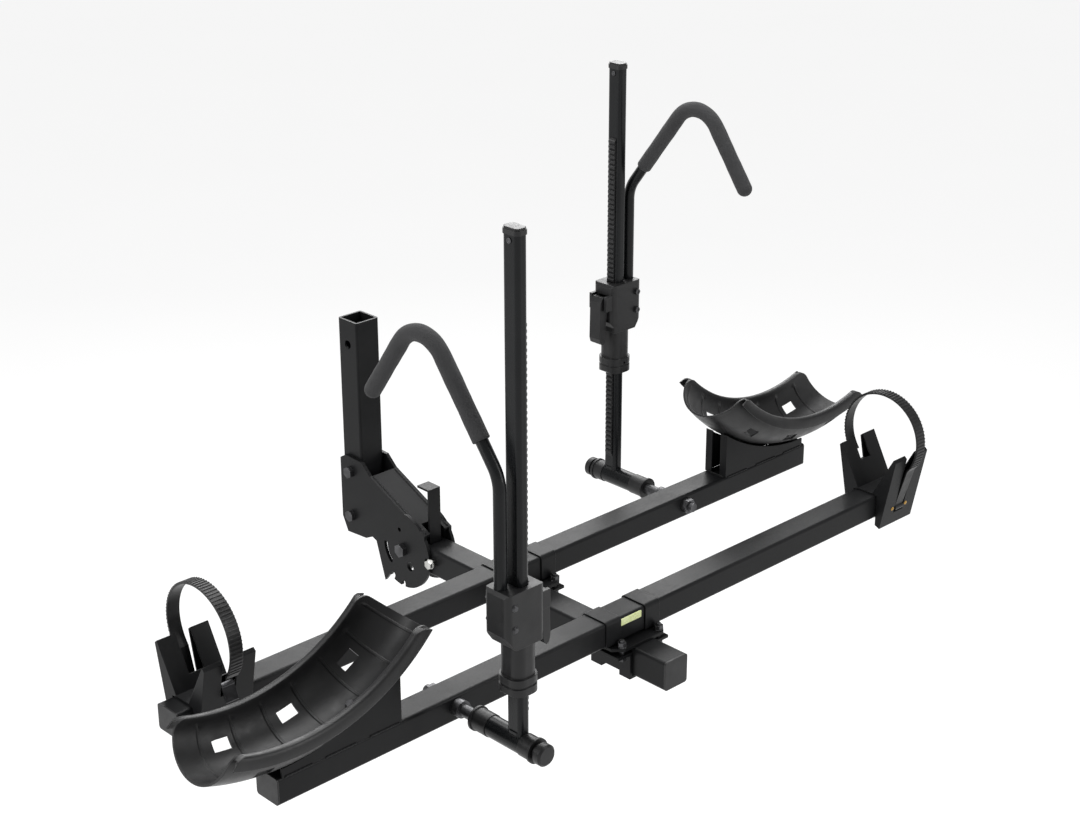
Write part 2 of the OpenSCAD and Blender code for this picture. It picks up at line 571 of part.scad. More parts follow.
// Half of the holder's folded section, y across the tray and z up, and the pocket inside it.
holder_outline = [[-1, 101.7], [25.7, 101.7], [25.7, 44.5], [35.9, 40], [62.6, 176.2], [57.2, 180.9], [16, 104.7],
  [-1, 104.7]];
holder_pocket = [[28.7, 47.2], [33.3, 45.2], [59.3, 175.3], [57.2, 176.7], [19.2, 104.7], [28.7, 104.7]];
end_wall = [[27.2, 46], [34.5, 42.8], [60.8, 175.8], [57.2, 178.8], [17.6, 103.2], [27.2, 103.2]];
module holder_section() for (m = [0, 1]) mirror([m, 0]) difference() {
  polygon(holder_outline);
  polygon(holder_pocket);
}
module strap_holder(s) color(BLACK) at_holder(s) difference() {
  union() {
    yz(-holder_len / 2, holder_len) holder_section();
    for (m = [0, 1]) mirror([0, m, 0]) for (x0 = [-holder_len / 2, holder_len / 2 - 3]) yz(x0, 3) polygon(end_wall);
  }
  translate([-slot_w / 2, anchor[0] - 12, anchor[1] - 8]) cube([slot_w, 45, 120]);
  translate([-slot_w / 2, 20, 143]) cube([slot_w, 60, 60]);
  translate([-slot_w / 2, -80, 118]) cube([slot_w, 40, 70]);
  translate([-slot_w / 2, -60, 143]) cube([slot_w, 40, 60]);
  translate([-slot_w / 2 - 5, anchor[0], anchor[1]]) along_x() cylinder(d = 5, h = slot_w + 10, $fn = 32);
  translate([-slot_w / 2 - 5, catch_pin[0], catch_pin[1]]) along_x() cylinder(d = 4, h = slot_w + 10, $fn = 32);
  for (x = [-30, 30]) translate([x, -30, 53.2]) along_y() cylinder(d = 6, h = 60, $fn = 32);
}
// The pin across the anchor slot with its two lugs, and the clamp bolts under the tube.
module strap_pin(s) color(ZINC) at_holder(s) {
  translate([-slot_w / 2 - 4, anchor[0], anchor[1]]) along_x() cylinder(d = 5, h = slot_w + 8, $fn = 32);
  translate([-slot_w / 2 - 4, catch_pin[0], catch_pin[1]]) along_x() cylinder(d = 4, h = slot_w + 8, $fn = 32);
  for (x = [-30, 30]) {
    translate([x, 28.7, 53.2]) along_y() cylinder(d1 = 9, d2 = 8, h = 3, $fn = 32);
    translate([x, -31.7, 53.2]) along_y() cylinder(d1 = 8, d2 = 9, h = 3, $fn = 32);
    translate([x, -28.7, 53.2]) along_y() cylinder(d = 6, h = 57.4, $fn = 32);
  }
}
strap_ribs = 54;
// Where the strap's round loop ends and its straight tail down to the anchor pin begins.
strap_bend = [(loop_r - 2.5) * cos(39), loop_z - (loop_r - 2.5) * sin(39)];
strap_tail = anchor - strap_bend;
module wheel_strap(s) color(DARK) at_holder(s) difference() {
  yz(-strap_w / 2, strap_w) {
    translate([0, loop_z]) {
      arc_band_long(loop_r - 4, loop_r - 1, -39, 218);
      for (i = [0:strap_ribs]) rotate(-30 + 240 * i / strap_ribs) translate([loop_r - 1.5, -1]) square([1.5, 2]);
    }
    translate(strap_bend) circle(1.45, $fn = 24);
    translate(strap_bend) rotate(atan2(strap_tail[1], strap_tail[0])) translate([0, -1.3]) square([norm(strap_tail), 2.6]);
    translate(anchor) circle(5.5, $fn = 32);
  }
  translate([-20, anchor[0], anchor[1]]) along_x() cylinder(d = 5.12, h = 40, $fn = 32);
}
module arc_band_long(r0, r1, a0, a1) {
  mid = (a0 + a1) / 2;
  arc_band(r0, r1, a0, mid - 40);
  arc_band(r0, r1, mid - 41, mid + 41);
  arc_band(r0, r1, mid + 40, a1);
}
// A small sprung catch in the other slot, which grips the strap's free end.
catch_pin = [-49, 133];
module strap_catch(s) color(GREY) at_holder(s) {
  yz(-11, 22) {
    difference() {
      union() {
        translate(catch_pin) circle(5, $fn = 32);
        strip(catch_pin + [-3, 0], catch_pin + [-12, -22], 3);
      }
      translate(catch_pin) circle(2.06, $fn = 32);
    }
  }
}

shank_tube();
hitch_bracket();
bracket_bolts();
bracket_nuts();
spine_tube();
spine_end_cap();
pivot_bush();
latch_pin();
latch_handle();
latch_spring();
top_plate(-1);  // outer_top_plate
top_plate(1);  // inner_top_plate
u_clamp(-1);  // outer_u_clamp
u_clamp(1);  // inner_u_clamp
clamp_bolts();
clamp_nuts();
left_tube(-1);  // outer_left_tube
centre_sleeve(-1);  // outer_centre_sleeve
right_tube(-1);  // outer_right_tube
left_tube(1);  // inner_left_tube
centre_sleeve(1);  // inner_centre_sleeve
right_tube(1);  // inner_right_tube
tray_end_caps();
reflector();
wheel_cradle(-1);  // outer_wheel_cradle
wheel_cradle(1);  // inner_wheel_cradle
cradle_support(-1);  // outer_cradle_support
cradle_support(1);  // inner_cradle_support
cradle_screws();
pivot_stud(-1);  // outer_pivot_stud
pivot_stud(1);  // inner_pivot_stud
stud_nuts();
mast(-1);  // outer_mast
mast(1);  // inner_mast
mast_cap(-1);  // outer_mast_cap
mast_cap(1);  // inner_mast_cap
ratchet_rack(-1);  // outer_ratchet_rack
ratchet_rack(1);  // inner_ratchet_rack
pivot_bushes(-1);  // outer_pivot_bushes
pivot_bushes(1);  // inner_pivot_bushes
mast_knob(-1);  // outer_mast_knob
mast_knob(1);  // inner_mast_knob
hook_collar(-1);  // outer_hook_collar
hook_collar(1);  // inner_hook_collar
collar_screws(-1);  // outer_collar_screws
collar_screws(1);  // inner_collar_screws
hook_rod(-1);  // outer_hook_rod
hook_rod(1);  // inner_hook_rod
foam_grip(-1);  // outer_foam_grip
foam_grip(1);  // inner_foam_grip
release_lever(-1);  // outer_release_lever
release_lever(1);  // inner_release_lever
strap_holder(-1);  // outer_strap_holder
strap_holder(1);  // inner_strap_holder
wheel_strap(-1);  // outer_wheel_strap
wheel_strap(1);  // inner_wheel_strap
strap_pin(-1);  // outer_strap_pin
strap_pin(1);  // inner_strap_pin
strap_catch(-1);  // outer_strap_catch
strap_catch(1);  // inner_strap_catch
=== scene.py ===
"""Folding two-bike hitch rack: materials, detail pieces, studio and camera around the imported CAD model."""
import json
import math

import bmesh
import bpy
from mathutils import Matrix, Vector


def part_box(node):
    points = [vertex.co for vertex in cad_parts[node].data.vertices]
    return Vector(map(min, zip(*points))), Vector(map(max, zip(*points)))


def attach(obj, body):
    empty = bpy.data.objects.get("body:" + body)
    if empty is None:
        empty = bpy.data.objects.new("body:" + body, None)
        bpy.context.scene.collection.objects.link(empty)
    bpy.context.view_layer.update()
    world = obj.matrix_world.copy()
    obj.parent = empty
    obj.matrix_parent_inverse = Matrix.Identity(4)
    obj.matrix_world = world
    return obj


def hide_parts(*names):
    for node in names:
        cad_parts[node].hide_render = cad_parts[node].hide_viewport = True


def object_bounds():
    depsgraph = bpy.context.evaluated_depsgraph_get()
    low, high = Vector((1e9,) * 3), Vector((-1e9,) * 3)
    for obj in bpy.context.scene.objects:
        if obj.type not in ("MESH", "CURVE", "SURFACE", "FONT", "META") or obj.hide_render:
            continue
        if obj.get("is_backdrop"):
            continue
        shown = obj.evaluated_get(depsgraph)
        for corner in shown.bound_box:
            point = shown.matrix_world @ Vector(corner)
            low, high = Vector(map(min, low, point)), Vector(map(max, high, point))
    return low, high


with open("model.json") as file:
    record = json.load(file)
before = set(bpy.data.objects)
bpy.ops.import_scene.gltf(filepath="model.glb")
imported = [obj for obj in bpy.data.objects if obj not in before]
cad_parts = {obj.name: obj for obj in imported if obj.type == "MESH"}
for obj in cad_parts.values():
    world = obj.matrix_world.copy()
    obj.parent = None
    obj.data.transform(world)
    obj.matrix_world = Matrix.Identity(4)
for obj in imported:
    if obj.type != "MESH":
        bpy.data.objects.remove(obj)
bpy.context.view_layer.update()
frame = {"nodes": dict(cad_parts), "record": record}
nodes = frame["nodes"]

MM = 0.001
# Where the rack's own frame (spine centre, midway between the trays, spine underside) sits in the row frame.
RACK = Vector((0.0, -537.0, -376.0)) * MM
SIDES = {"outer": -1, "inner": 1}


def at(x, y, z, side=1):
    """A point given in millimetres in the rack's frame; side -1 is the half turn about the vertical."""
    return Vector((x * side, y * side, z)) * MM + RACK


# ---------------------------------------------------------------- materials
class Nodes:
    """Small helper around one material's node tree."""

    def __init__(self, name):
        self.mat = bpy.data.materials.new(name)
        self.mat.use_nodes = True
        self.tree = self.mat.node_tree
        self.bsdf = self.tree.nodes["Principled BSDF"]
        self.coord = self.tree.nodes.new("ShaderNodeTexCoord").outputs["Object"]

    def link(self, a, b):
        self.tree.links.new(a, b)

    def noise(self, scale, detail=3.0, rough=0.5, stretch=None):
        n = self.tree.nodes.new("ShaderNodeTexNoise")
        n.inputs["Scale"].default_value = scale
        n.inputs["Detail"].default_value = detail
        n.inputs["Roughness"].default_value = rough
        source = self.coord
        if stretch:
            m = self.tree.nodes.new("ShaderNodeMapping")
            m.inputs["Scale"].default_value = stretch
            self.link(self.coord, m.inputs["Vector"])
            source = m.outputs["Vector"]
        self.link(source, n.inputs["Vector"])
        return n.outputs["Fac"]

    def cells(self, scale):
        n = self.tree.nodes.new("ShaderNodeTexVoronoi")
        n.inputs["Scale"].default_value = scale
        self.link(self.coord, n.inputs["Vector"])
        return n.outputs["Distance"]

    def spread(self, value, lo, hi, to_lo, to_hi):
        n = self.tree.nodes.new("ShaderNodeMapRange")
        for key, v in zip(("From Min", "From Max", "To Min", "To Max"), (lo, hi, to_lo, to_hi)):
            n.inputs[key].default_value = v
        self.link(value, n.inputs["Value"])
        return n.outputs["Result"]

    def mix(self, fac, a, b):
        n = self.tree.nodes.new("ShaderNodeMix")
        n.data_type = "RGBA"
        self.link(fac, n.inputs[0])
        for socket, value in ((n.inputs[6], a), (n.inputs[7], b)):
            if isinstance(value, tuple):
                socket.default_value = (*value, 1.0)
            else:
                self.link(value, socket)
        return n.outputs[2]

    def math(self, op, a, b):
        n = self.tree.nodes.new("ShaderNodeMath")
        n.operation = op
        for socket, value in ((n.inputs[0], a), (n.inputs[1], b)):
            if isinstance(value, (int, float)):
                socket.default_value = value
            else:
                self.link(value, socket)
        return n.outputs[0]

    def edge(self, radius):
        """1 along convex and concave edges, 0 on flats: how far a rounded normal leaves the flat one."""
        bevel = self.tree.nodes.new("ShaderNodeBevel")
        bevel.samples = 4
        bevel.inputs["Radius"].default_value = radius
        geo = self.tree.nodes.new("ShaderNodeNewGeometry")
        dot = self.tree.nodes.new("ShaderNodeVectorMath")
        dot.operation = "DOT_PRODUCT"
        self.link(bevel.outputs["Normal"], dot.inputs[0])
        self.link(geo.outputs["Normal"], dot.inputs[1])
        return bevel.outputs["Normal"], self.spread(dot.outputs["Value"], 0.75, 0.99, 1.0, 0.0)

    def bump(self, height, distance, strength=1.0, normal=None):
        n = self.tree.nodes.new("ShaderNodeBump")
        n.inputs["Distance"].default_value = distance
        n.inputs["Strength"].default_value = strength
        self.link(height, n.inputs["Height"])
        if normal is not None:
            self.link(normal, n.inputs["Normal"])
        return n.outputs["Normal"]

    def set(self, **values):
        names = {"base": "Base Color", "rough": "Roughness", "metal": "Metallic", "normal": "Normal",
                 "coat": "Coat Weight", "coat_rough": "Coat Roughness", "spec": "Specular IOR Level",
                 "sheen": "Sheen Weight", "sheen_rough": "Sheen Roughness", "glow": "Emission Color",
                 "glow_strength": "Emission Strength"}
        for key, value in values.items():
            socket = self.bsdf.inputs[names[key]]
            if isinstance(value, bpy.types.NodeSocket):
                self.link(value, socket)
            elif isinstance(value, tuple):
                socket.default_value = (*value, 1.0)
            else:
                socket.default_value = value
        return self.mat


def powder_black():
    n = Nodes("powder_black")
    normal, edge = n.edge(0.0012)
    cloud = n.noise(9.0, 4.0, 0.6)
    speck = n.noise(420.0, 2.0, 0.6)
    base = n.mix(n.spread(cloud, 0.3, 0.7, 0.0, 1.0), (0.0055, 0.0057, 0.0062), (0.0105, 0.0107, 0.0112))
    worn = n.math("MULTIPLY", edge, n.spread(n.noise(70.0, 4.0, 0.7), 0.5, 0.72, 0.0, 0.45))
    base = n.mix(worn, base, (0.05, 0.05, 0.052))
    rough = n.math("ADD", n.spread(cloud, 0.3, 0.7, 0.33, 0.43), n.spread(speck, 0.3, 0.7, -0.04, 0.05))
    peel = n.bump(n.noise(900.0, 2.0, 0.5), 0.00012, 0.55, normal)
    return n.set(base=base, rough=rough, normal=peel, spec=0.13)


def black_plastic():
    n = Nodes("black_plastic")
    normal, edge = n.edge(0.0012)
    cloud = n.noise(14.0, 3.0, 0.6)
    base = n.mix(n.spread(cloud, 0.3, 0.7, 0.0, 1.0), (0.006, 0.006, 0.0064), (0.0115, 0.0115, 0.012))
    scuff = n.math("MULTIPLY", edge, n.spread(n.noise(110.0, 4.0, 0.7), 0.5, 0.75, 0.0, 0.5))
    base = n.mix(scuff, base, (0.045, 0.045, 0.047))
    rough = n.spread(n.noise(55.0, 4.0, 0.65), 0.3, 0.7, 0.33, 0.47)
    rough = n.math("ADD", rough, n.spread(n.noise(600.0, 2.0), 0.3, 0.7, -0.03, 0.03))
    sink = n.bump(n.noise(34.0, 2.0, 0.4), 0.0012, 0.35, normal)
    grain = n.bump(n.cells(1500.0), 0.00008, 0.4, sink)
    return n.set(base=base, rough=rough, normal=grain, spec=0.34)


def gloss_black():
    """Smooth semi-gloss paint on the masts and hook rods, with faint lengthwise drawing lines and scuffs."""
    n = Nodes("gloss_black")
    normal, edge = n.edge(0.0012)
    cloud = n.noise(12.0, 4.0, 0.6)
    lines = n.noise(320.0, 3.0, 0.6, stretch=(1.0, 1.0, 0.02))
    base = n.mix(n.spread(cloud, 0.3, 0.7, 0.0, 1.0), (0.0040, 0.0044, 0.0050), (0.0070, 0.0076, 0.0084))
    worn = n.math("MULTIPLY", edge, n.spread(n.noise(80.0, 4.0, 0.7), 0.5, 0.75, 0.0, 0.4))
    base = n.mix(worn, base, (0.05, 0.05, 0.052))
    rough = n.math("ADD", n.spread(cloud, 0.3, 0.7, 0.22, 0.30), n.spread(lines, 0.3, 0.7, -0.04, 0.06))
    return n.set(base=base, rough=rough, normal=n.bump(lines, 0.00008, 0.35, normal), spec=0.22)


def foam_grip():
    n = Nodes("foam_grip")
    cloud = n.noise(40.0, 4.0, 0.6)
    pores = n.cells(900.0)
    base = n.mix(n.spread(cloud, 0.3, 0.7, 0.0, 1.0), (0.018, 0.018, 0.019), (0.030, 0.030, 0.031))
    base = n.mix(n.spread(pores, 0.0, 0.5, 0.0, 0.4), base, (0.055, 0.055, 0.057))
    height = n.math("ADD", pores, n.spread(n.noise(260.0, 4.0, 0.6), 0.0, 1.0, 0.0, 0.9))
    return n.set(base=base, rough=n.spread(cloud, 0.3, 0.7, 0.82, 0.95), normal=n.bump(height, 0.0008, 0.9),
                 sheen=0.06, sheen_rough=0.6, spec=0.2)


def metal(name, dark, light, rough_lo, rough_hi, metallic=1.0):
    n = Nodes(name)
    normal, edge = n.edge(0.0006)
    cloud = n.noise(60.0, 4.0, 0.6)
    base = n.mix(n.spread(cloud, 0.3, 0.7, 0.0, 1.0), dark, light)
    bright = tuple(min(1.0, c * 1.6 + 0.03) for c in light)
    base = n.mix(n.math("MULTIPLY", edge, 0.4), base, bright)
    rough = n.spread(n.noise(240.0, 3.0, 0.6), 0.3, 0.7, rough_lo, rough_hi)
    turned = n.bump(n.noise(700.0, 3.0, 0.6), 0.00006, 0.5, normal)
    return n.set(base=base, rough=rough, metal=metallic, normal=turned)


def reflector():
    n = Nodes("reflector")
    cell = n.cells(330.0)
    base = n.mix(n.spread(cell, 0.0, 0.55, 0.0, 1.0), (0.74, 0.80, 0.42), (0.56, 0.62, 0.24))
    base = n.mix(n.spread(n.noise(30.0), 0.4, 0.7, 0.0, 0.35), base, (0.84, 0.88, 0.60))
    return n.set(base=base, rough=n.spread(n.noise(90.0), 0.3, 0.7, 0.22, 0.34), coat=0.7, coat_rough=0.08,
                 normal=n.bump(cell, 0.0002, 0.4))


LOOKS = {
    "powder_black": powder_black(),
    "black_plastic": black_plastic(),
    "gloss_black": gloss_black(),
    "foam_grip": foam_grip(),
    "dark_steel": metal("dark_steel", (0.05, 0.05, 0.052), (0.10, 0.10, 0.105), 0.30, 0.44, 0.85),
    "zinc_steel": metal("zinc_steel", (0.42, 0.42, 0.40), (0.60, 0.60, 0.58), 0.22, 0.36),
    "spring_steel": metal("spring_steel", (0.20, 0.20, 0.20), (0.34, 0.34, 0.34), 0.25, 0.38),
    "reflector": reflector(),
    "amber_rivet": metal("amber_rivet", (0.30, 0.17, 0.04), (0.48, 0.30, 0.09), 0.28, 0.42),
}


def wear(obj, look):
    """Gives the object this material on every slot."""
    if not obj.data.materials:
        obj.data.materials.append(LOOKS[look])
    for i in range(len(obj.data.materials)):
        obj.data.materials[i] = LOOKS[look]


slots = {part["node"]: part["material_slot"] for part in frame["record"]["subparts"]}
for name, obj in nodes.items():
    glossy = name.endswith(("_mast", "_hook_rod"))
    wear(obj, "gloss_black" if glossy else slots[name])


# ---------------------------------------------------------------- detail pieces
def piece(name, bm, look, body, replaced=()):
    """Turns the mesh into an object that rides on this body and stands in for the replaced CAD nodes."""
    mesh = bpy.data.meshes.new(name)
    bmesh.ops.recalc_face_normals(bm, faces=bm.faces)
    bm.to_mesh(mesh)
    bm.free()
    for poly in mesh.polygons:
        poly.use_smooth = True
    obj = bpy.data.objects.new(name, mesh)
    bpy.context.scene.collection.objects.link(obj)
    wear(obj, look)
    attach(obj, body)
    if replaced:
        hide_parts(*replaced)
    return obj


def skin(bm, loops):
    """Joins neighbouring rings of equal length with four-sided faces."""
    for a, b in zip(loops, loops[1:]):
        sides = len(a)
        for k in range(sides):
            bm.faces.new((a[k], a[(k + 1) % sides], b[(k + 1) % sides], b[k]))


# Sizes below are in millimetres in the rack's frame, and repeat the CAD model's own.
MAST_X, MAST_Y, MAST_HALF = 381.0, 278.0, 10.0
TRAY_Y, TRAY_TOP, TRAY_HALF_W = 120.5, 101.0, 25.0

# Foam grip: a tube swept along the hook's arm, crown and tip, with a soft rounded end.
# The hook's lower bend and its crown, each as (radius, degrees turned).
HOOK_BEND, HOOK_CROWN = (60.0, 37.4), (54.0, 106.9)
HOOK_RISE, HOOK_ARM, HOOK_TIP, BARE_ARM = 208.0, 165.0, 119.0, 37.0
# Where the hook's rod leaves its collar, from the mast's centre and the collar's bottom, as (x, y, up).
ROD_PLACE = (28.0, -4.0, 107.0)
GRIP_R, ROD_R, GRIP_ROUNDING = 13.0, 9.5, 6.0
COLLAR_Z = {"outer": 168.0, "inner": 293.0}


def hook_point(s):
    """Point and direction on the grip's centre line in the hook's plane (across, up), s from its open end."""
    bend, crown = math.radians(HOOK_BEND[1]), math.radians(HOOK_CROWN[1])
    bend_r, crown_r = HOOK_BEND[0], HOOK_CROWN[0]
    start = Vector((bend_r * (1 - math.cos(bend)), HOOK_RISE + bend_r * math.sin(bend)))
    out, across = Vector((math.sin(bend), math.cos(bend))), Vector((math.cos(bend), -math.sin(bend)))
    straight, arc = HOOK_ARM - BARE_ARM, crown_r * crown
    if s <= straight:
        return start + out * (BARE_ARM + s), out
    if s <= straight + arc:
        a = (s - straight) / crown_r
        place = start + out * (HOOK_ARM + crown_r * math.sin(a)) + across * crown_r * (1 - math.cos(a))
        return place, out * math.cos(a) + across * math.sin(a)
    end = out * math.cos(crown) + across * math.sin(crown)
    place = start + out * (HOOK_ARM + crown_r * math.sin(crown))
    place += across * crown_r * (1 - math.cos(crown)) + end * (s - straight - arc)
    return place, end


def grip_rings():
    """The grip's rings as (distance from its open end, radius): open end, gently uneven length, round tip."""
    crown_length = HOOK_CROWN[0] * math.radians(HOOK_CROWN[1])
    length = HOOK_ARM - BARE_ARM + crown_length + HOOK_TIP - GRIP_ROUNDING
    chamfer, steps = 1.6, 96
    rings = [(0.0, ROD_R + 0.3), (0.0, GRIP_R - chamfer), (0.5, GRIP_R - 0.5), (chamfer, GRIP_R)]
    for i in range(1, steps):
        s = chamfer + (length - chamfer) * i / steps
        wave = 0.16 * math.sin(s * 0.083) + 0.10 * math.sin(s * 0.21 + 1.3)
        rings.append((s, GRIP_R + wave - 0.15))
    for i in range(0, 9):
        a = math.radians(10.0 * i)
        rings.append((length + GRIP_R * math.sin(a), GRIP_R * math.cos(a)))
    return rings


def foam(side):
    sign = SIDES[side]
    bm, sides = bmesh.new(), 32
    loops = []
    for s, r in grip_rings():
        place, along = hook_point(s)
        over = Vector((along.y, -along.x))
        loop = []
        for k in range(sides):
            t = 2 * math.pi * k / sides
            p = place + over * (r * math.cos(t))
            loop.append(bm.verts.new(at(MAST_X + ROD_PLACE[0] + r * math.sin(t), MAST_Y + ROD_PLACE[1] - p.x,
                                        COLLAR_Z[side] + ROD_PLACE[2] + p.y, sign)))
        loops.append(loop)
    skin(bm, loops)
    bm.faces.new(loops[-1])
    bm.faces.new(list(reversed(loops[0])))
    obj = piece(f"{side}_foam_sleeve", bm, "foam_grip", f"{side}_hook", [f"{side}_foam_grip"])


for side in SIDES:
    foam(side)


def frame_along(direction):
    """Two unit vectors across a direction."""
    direction = direction.normalized()
    helper = Vector((0, 0, 1)) if abs(direction.z) < 0.9 else Vector((1, 0, 0))
    u = direction.cross(helper).normalized()
    return u, direction.cross(u).normalized()


def lathe(bm, centre, axis, profile, sides=32):
    """Adds a turned shape; profile holds (distance along axis, radius) in millimetres, back to front."""
    axis = axis.normalized()
    u, v = frame_along(axis)
    loops = []
    for h, r in profile:
        ring = []
        for k in range(sides):
            t = 2 * math.pi * k / sides
            ring.append(bm.verts.new(centre + (axis * h + (u * math.cos(t) + v * math.sin(t)) * r) * MM))
        loops.append(ring)
    skin(bm, loops)
    bm.faces.new(list(reversed(loops[0])))
    bm.faces.new(loops[-1])


# A socket screw's head as (height, radius), each a share of the head's own height and radius.
SOCKET_SCREW = ((0.0, 1.0), (0.6, 1.0), (0.92, 0.93), (1.0, 0.8), (1.0, 0.48), (0.5, 0.44), (0.5, 0.05))


def screw(bm, centre, axis, radius, height):
    lathe(bm, centre, axis, [(h * height, r * radius) for h, r in SOCKET_SCREW])


def dome(bm, centre, axis, radius, height):
    """A domed rivet head."""
    turns = [math.radians(a) for a in range(0, 90, 12)]
    steps = [(math.sin(a) * height, math.cos(a) * radius) for a in turns]
    lathe(bm, centre, axis, [(0.0, radius)] + steps[1:] + [(height, 0.3)])


def bead(bm, points, radius, sides=8, step=2.2):
    """A weld bead: overlapping ripples of metal laid along a polyline given in metres."""
    path = []
    for a, b in zip(points, points[1:]):
        count = max(2, int((b - a).length / MM / step))
        path += [a.lerp(b, i / count) for i in range(count)]
    path.append(points[-1])
    loops = []
    for i, place in enumerate(path):
        ahead, behind = path[min(i + 1, len(path) - 1)], path[max(i - 1, 0)]
        u, v = frame_along(ahead - behind)
        r = radius * (1.0 + 0.16 * math.sin(i * 1.9) + 0.05 * math.sin(i * 0.37))
        if i in (0, len(path) - 1):
            r *= 0.5
        loops.append([bm.verts.new(place + (u * math.cos(t) + v * math.sin(t)) * r * MM)
                      for t in [2 * math.pi * k / sides for k in range(sides)]])
    skin(bm, loops)
    bm.faces.new(loops[0])
    bm.faces.new(list(reversed(loops[-1])))


CAP_SCREW_Z = 838.0
# The mast's cross sleeve: the height of its axis, and its radius out to the middle of the weld.
SLEEVE_Z, SLEEVE_WELD_R = 82.0, 17.2
MAST_WELD_OUT, MAST_WELD_HALF = 10.4, 9.0


def mast_details(side):
    """Two screws in the mast's cap, and the weld beads where the mast meets its cross sleeve."""
    sign = SIDES[side]
    bm = bmesh.new()
    for face in (-1, 1):
        centre = at(MAST_X + face * MAST_HALF, MAST_Y, CAP_SCREW_Z, sign)
        screw(bm, centre, Vector((face * sign, 0, 0)), 4.2, 1.6)
    piece(f"{side}_mast_cap_screws", bm, "dark_steel", f"{side}_mast_arm")
    bm = bmesh.new()
    weld_z = SLEEVE_Z + math.sqrt(SLEEVE_WELD_R ** 2 - MAST_WELD_OUT ** 2)
    for face in (-1, 1):
        x = MAST_X + face * MAST_WELD_OUT
        line = [at(x, MAST_Y + y, weld_z, sign) for y in (-MAST_WELD_HALF, MAST_WELD_HALF)]
        bead(bm, line, 1.9)
    piece(f"{side}_mast_weld", bm, "powder_black", f"{side}_mast_arm")


# Stitches of weld along the foot of a cradle support, as stretches along x, and one across its inboard end.
SUPPORT_STITCHES = ((492.0, 548.0), (572.0, 628.0), (650.0, 700.0))
SUPPORT_END_X, SUPPORT_END_HALF = 488.2, 22.0


def cradle_support_welds(side):
    sign = SIDES[side]
    bm = bmesh.new()
    for face in (-1, 1):
        y = TRAY_Y + face * (TRAY_HALF_W - 0.2)
        for x0, x1 in SUPPORT_STITCHES:
            bead(bm, [at(x0, y, TRAY_TOP, sign), at(x1, y, TRAY_TOP, sign)], 1.7)
    across = [at(SUPPORT_END_X, TRAY_Y + y, TRAY_TOP, sign) for y in (-SUPPORT_END_HALF, SUPPORT_END_HALF)]
    bead(bm, across, 1.9)
    piece(f"{side}_support_welds", bm, "powder_black", "rack")


# Wheel cradle: a trough swept about the wheel's axle, with rolled rims, windows and thin cross ribs.
# Start, end, windows and ribs are degrees about the axle from straight down; WINDOW_ARC is degrees across.
AXLE_X, AXLE_Z, RIM_R = 703.0, 483.0, 304.0
TROUGH_DEPTH, TROUGH_HALF, CRADLE_WALL = 60.0, 62.0, 3.5
CRADLE_START, CRADLE_END, CORNER_R = -47.0, 21.0, 20.0
WINDOWS, WINDOW_HALF = (-31.0, -11.0, 8.0), 2.45
WINDOW_ARC = (29.0, 52.0)
RIBS, RIB_HALF, RIB_HEIGHT = (-44.5, -36.0, -26.0, -15.5, -5.5, 4.0, 14.0), 0.22, 1.6
ARC_STEPS = 44
# How far in from each end, in degrees, the rounding of the corners is spread over.
CORNER_SPREAD = 6.0
SAME = 1e-6
# The rolled rim, from the trough's inner edge over and down to the outer skin: (away from the axle, outward).
RIM = [(-2.2, 0.6), (-3.2, 2.2), (-3.2, 8.0), (-2.4, 11.0), (-0.2, 13.2), (4.0, 14.0), (15.5, 15.3),
       (16.8, 14.6), (16.6, 13.2), (14.0, 12.4), (5.4, 11.2), (3.4, 9.6), (2.8, 7.6), (3.4, 4.6)]


def trough_arc(depth, half):
    """Points across the trough, far rim to near rim, as (away from the rims' circle, across)."""
    turns = [math.pi * i / ARC_STEPS for i in range(ARC_STEPS + 1)]
    return [(depth * math.sin(a), half * math.cos(a)) for a in turns]


def cradle_ring(rib):
    """The trough's closed section: inner skin, near rim, outer skin, far rim; rib is 1 on a rib, else 0."""
    inner = trough_arc(TROUGH_DEPTH - rib * RIB_HEIGHT, TROUGH_HALF - rib * RIB_HEIGHT)
    if rib:
        plain = trough_arc(TROUGH_DEPTH, TROUGH_HALF)
        inner = plain[:3] + inner[3:-3] + plain[-3:]
    outer = trough_arc(TROUGH_DEPTH + CRADLE_WALL, TROUGH_HALF + CRADLE_WALL)
    near = [(r, -TROUGH_HALF - w) for r, w in RIM]
    far = [(r, TROUGH_HALF + w) for r, w in reversed(RIM)]
    return inner + near + outer[::-1] + far


def cradle_rows():
    """Every turn about the axle at which the trough has a section, each with whether a rib stands there."""
    special = {}
    for t in RIBS:
        for step, high in ((-1.9, 0), (-1.0, 1), (1.0, 1), (1.9, 0)):
            special[t + step * RIB_HALF] = high
    for t in WINDOWS:
        for step in (-1.0, 1.0):
            special[t + step * WINDOW_HALF] = 0
    count = 46
    even = [CRADLE_START + (CRADLE_END - CRADLE_START) * i / count for i in range(count + 1)]
    inside = [t for t in even if min(abs(t - u) for u in special) > 0.5 or t in (CRADLE_START, CRADLE_END)]
    return sorted([(t, 0) for t in inside] + list(special.items()))


def cradle_turn(t, r):
    """Turn about the axle of a point r past the rims' circle; rims draw in near the ends to round them."""
    drop = CORNER_R - min(max(r + 3.0, 0.0), CORNER_R)
    cut = math.degrees((CORNER_R - math.sqrt(CORNER_R ** 2 - drop ** 2)) / RIM_R)
    shrink = (CORNER_SPREAD - cut) / CORNER_SPREAD
    if t - CRADLE_START < CORNER_SPREAD:
        return CRADLE_START + cut + (t - CRADLE_START) * shrink
    if CRADLE_END - t < CORNER_SPREAD:
        return CRADLE_END - cut + (t - CRADLE_END) * shrink
    return t


def behind(k):
    """Index on the outer skin of the point behind index k on the inner skin."""
    return 2 * ARC_STEPS + 1 + len(RIM) - k


